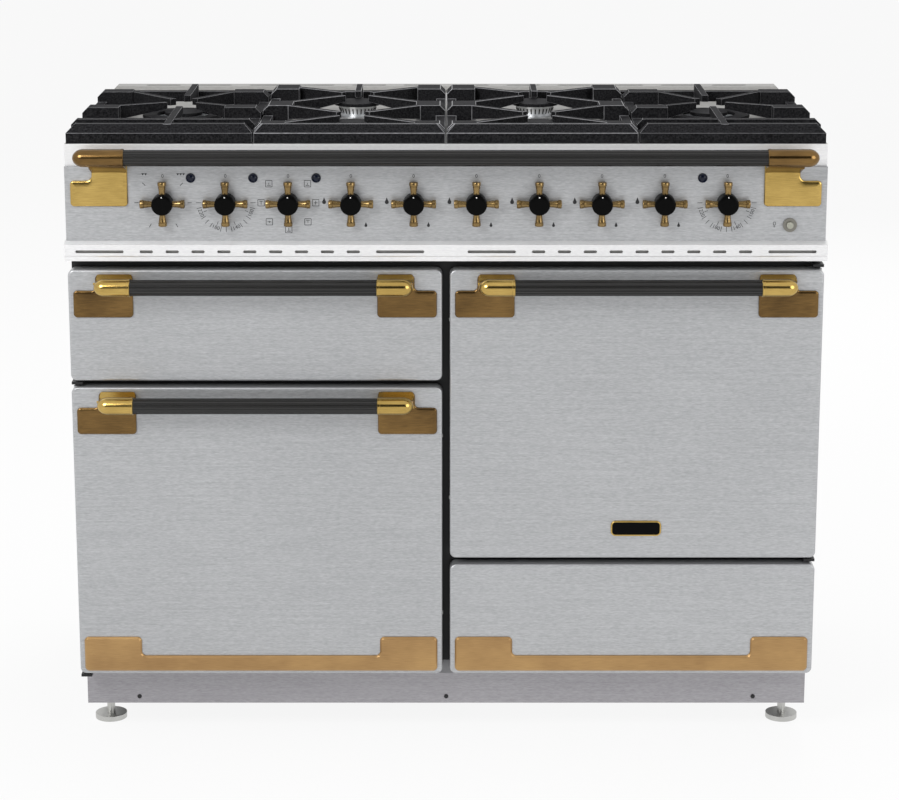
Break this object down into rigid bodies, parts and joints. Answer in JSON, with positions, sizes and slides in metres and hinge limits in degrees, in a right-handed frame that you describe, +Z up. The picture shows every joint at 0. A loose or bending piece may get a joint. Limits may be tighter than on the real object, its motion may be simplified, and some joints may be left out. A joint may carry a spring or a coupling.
{
  "type": "dual fuel range cooker",
  "caption": "Free-standing dual fuel range cooker: gas hob with cast pan supports over two side-hinged ovens, a glide-out grill and a storage drawer, with cross knobs and bar handles.",
  "frame": {"origin": "on the floor, under the middle of the cooker", "axes": "+X to the right seen from the front, +Y to the back, +Z up"},
  "size_m": [1.092, 0.648, 0.932],
  "materials": {
    "brushed_stainless": "brushed, fine horizontal grain",
    "bright_stainless": "satin bright",
    "galvanised": "plain sheet",
    "brass": "polished, lacquered",
    "black_bar": "gloss black",
    "black_frame": "semi-gloss black",
    "grey_base": "satin grey",
    "enamel": "gloss vitreous enamel",
    "cast_iron": "satin black enamel",
    "cast_aluminium": "as cast",
    "chrome_wire": "plated wire",
    "element_steel": "heat darkened",
    "motor_steel": "plain",
    "control_body": "moulded",
    "knob_black": "gloss",
    "lamp_lens": "dark neon lens",
    "button_plastic": "satin",
    "seal_rubber": "woven-cored silicone",
    "roller_plastic": "moulded",
    "zinc_steel": "zinc plated",
    "dark_screw": "black oxide"
  },
  "bodies": {
    "cooker": {"base_frame": "grey_base", "outer_panels": "black_frame", "front_frame": "black_frame", "plinth": "brushed_stainless", "fixing_screws": "dark_screw", "hob_top": "bright_stainless", "rear_vent": "bright_stainless", "control_panel": "brushed_stainless", "vent_trim": "bright_stainless", "hand_rail_brackets": "brass", "hand_rail_bar": "black_bar", "indicator_lamps": "lamp_lens", "oven_liners": "enamel", "oven_seals": "seal_rubber", "oven_racks": "chrome_wire", "fan_covers": "enamel", "fan_motors": "motor_steel", "heating_elements": "element_steel", "burner_heads": "cast_aluminium", "burner_caps": "cast_iron", "gas_rail": "zinc_steel", "oven_controls": "control_body", "drawer_runners": "galvanised", "rear_connections": "zinc_steel"},
    "left_door": {"left_door_panel": "brushed_stainless", "left_door_liner": "enamel", "left_handle_brackets": "brass", "left_handle_bar": "black_bar", "left_door_trim": "brass"},
    "right_door": {"right_door_panel": "brushed_stainless", "right_door_liner": "enamel", "right_handle_brackets": "brass", "right_handle_bar": "black_bar"},
    "grill_drawer": {"grill_drawer_front": "brushed_stainless", "grill_handle_brackets": "brass", "grill_handle_bar": "black_bar", "grill_carriage": "chrome_wire", "grill_pan": "enamel"},
    "storage_drawer": {"storage_drawer_front": "brushed_stainless", "storage_drawer_box": "galvanised", "storage_drawer_trim": "brass"},
    "light_button": {"light_button": "button_plastic"},
    "left_wok_support": {"left_wok_support": "cast_iron"},
    "right_wok_support": {"right_wok_support": "cast_iron"},
    "left_pan_support": {"left_pan_support": "cast_iron"},
    "right_pan_support": {"right_pan_support": "cast_iron"},
    "left_fan": {"left_fan": "galvanised"},
    "right_fan": {"right_fan": "galvanised"},
    "rear_rollers": {"rear_rollers": "roller_plastic"},
    "levelling_feet": {"levelling_feet": "zinc_steel"},
    "knob_1": {"knob_1": "knob_black"},
    "knob_2": {"knob_2": "knob_black"},
    "knob_3": {"knob_3": "knob_black"},
    "knob_4": {"knob_4": "knob_black"},
    "knob_5": {"knob_5": "knob_black"},
    "knob_6": {"knob_6": "knob_black"},
    "knob_7": {"knob_7": "knob_black"},
    "knob_8": {"knob_8": "knob_black"},
    "knob_9": {"knob_9": "knob_black"},
    "knob_10": {"knob_10": "knob_black"}
  },
  "joints": [
    {"name": "left_door_hinge", "type": "hinge", "parent": "cooker", "child": "left_door", "pos_m": [-0.536, -0.262, 0.3295], "axis": [0, 0, -1], "range_deg": [0, 105]},
    {"name": "right_door_hinge", "type": "hinge", "parent": "cooker", "child": "right_door", "pos_m": [0.536, -0.262, 0.5065], "axis": [0, 0, 1], "range_deg": [0, 105]},
    {"name": "grill_drawer_slide", "type": "slide", "parent": "cooker", "child": "grill_drawer", "axis": [0, -1, 0], "range_m": [0, 0.26]},
    {"name": "storage_drawer_slide", "type": "slide", "parent": "cooker", "child": "storage_drawer", "axis": [0, -1, 0], "range_m": [0, 0.35]},
    {"name": "knob_1_turn", "type": "hinge", "parent": "cooker", "child": "knob_1", "pos_m": [-0.404, -0.276, 0.821], "axis": [0, -1, 0], "range_deg": [-150, 150]},
    {"name": "knob_2_turn", "type": "hinge", "parent": "cooker", "child": "knob_2", "pos_m": [-0.3145, -0.276, 0.821], "axis": [0, -1, 0], "range_deg": [-270, 0]},
    {"name": "knob_3_turn", "type": "hinge", "parent": "cooker", "child": "knob_3", "pos_m": [-0.225, -0.276, 0.821], "axis": [0, -1, 0], "continuous": true},
    {"name": "knob_4_turn", "type": "hinge", "parent": "cooker", "child": "knob_4", "pos_m": [-0.1355, -0.276, 0.821], "axis": [0, -1, 0], "range_deg": [0, 210]},
    {"name": "knob_5_turn", "type": "hinge", "parent": "cooker", "child": "knob_5", "pos_m": [-0.046, -0.276, 0.821], "axis": [0, -1, 0], "range_deg": [0, 210]},
    {"name": "knob_6_turn", "type": "hinge", "parent": "cooker", "child": "knob_6", "pos_m": [0.0435, -0.276, 0.821], "axis": [0, -1, 0], "range_deg": [0, 210]},
    {"name": "knob_7_turn", "type": "hinge", "parent": "cooker", "child": "knob_7", "pos_m": [0.133, -0.276, 0.821], "axis": [0, -1, 0], "range_deg": [0, 210]},
    {"name": "knob_8_turn", "type": "hinge", "parent": "cooker", "child": "knob_8", "pos_m": [0.2225, -0.276, 0.821], "axis": [0, -1, 0], "range_deg": [0, 210]},
    {"name": "knob_9_turn", "type": "hinge", "parent": "cooker", "child": "knob_9", "pos_m": [0.312, -0.276, 0.821], "axis": [0, -1, 0], "range_deg": [0, 210]},
    {"name": "knob_10_turn", "type": "hinge", "parent": "cooker", "child": "knob_10", "pos_m": [0.4015, -0.276, 0.821], "axis": [0, -1, 0], "range_deg": [-270, 0]},
    {"name": "light_button_press", "type": "slide", "parent": "cooker", "child": "light_button", "axis": [0, 1, 0], "range_m": [0, 0.0025], "stiffness_N_per_m": 400},
    {"name": "left_wok_support_lift", "type": "slide", "parent": "cooker", "child": "left_wok_support", "axis": [0, 0, 1], "range_m": [0, 0.12]},
    {"name": "left_pan_support_lift", "type": "slide", "parent": "cooker", "child": "left_pan_support", "axis": [0, 0, 1], "range_m": [0, 0.12]},
    {"name": "right_pan_support_lift", "type": "slide", "parent": "cooker", "child": "right_pan_support", "axis": [0, 0, 1], "range_m": [0, 0.12]},
    {"name": "right_wok_support_lift", "type": "slide", "parent": "cooker", "child": "right_wok_support", "axis": [0, 0, 1], "range_m": [0, 0.12]},
    {"name": "left_fan_spin", "type": "hinge", "parent": "cooker", "child": "left_fan", "pos_m": [-0.275, 0.144, 0.3295], "axis": [0, -1, 0], "continuous": true},
    {"name": "right_fan_spin", "type": "hinge", "parent": "cooker", "child": "right_fan", "pos_m": [0.275, 0.144, 0.5065], "axis": [0, -1, 0], "continuous": true},
    {"name": "rear_rollers_roll", "type": "hinge", "parent": "cooker", "child": "rear_rollers", "pos_m": [0, 0.262, 0.025], "axis": [1, 0, 0], "continuous": true},
    {"name": "levelling_feet_adjust", "type": "slide", "parent": "cooker", "child": "levelling_feet", "axis": [0, 0, -1], "range_m": [0, 0.025]}
  ]
}
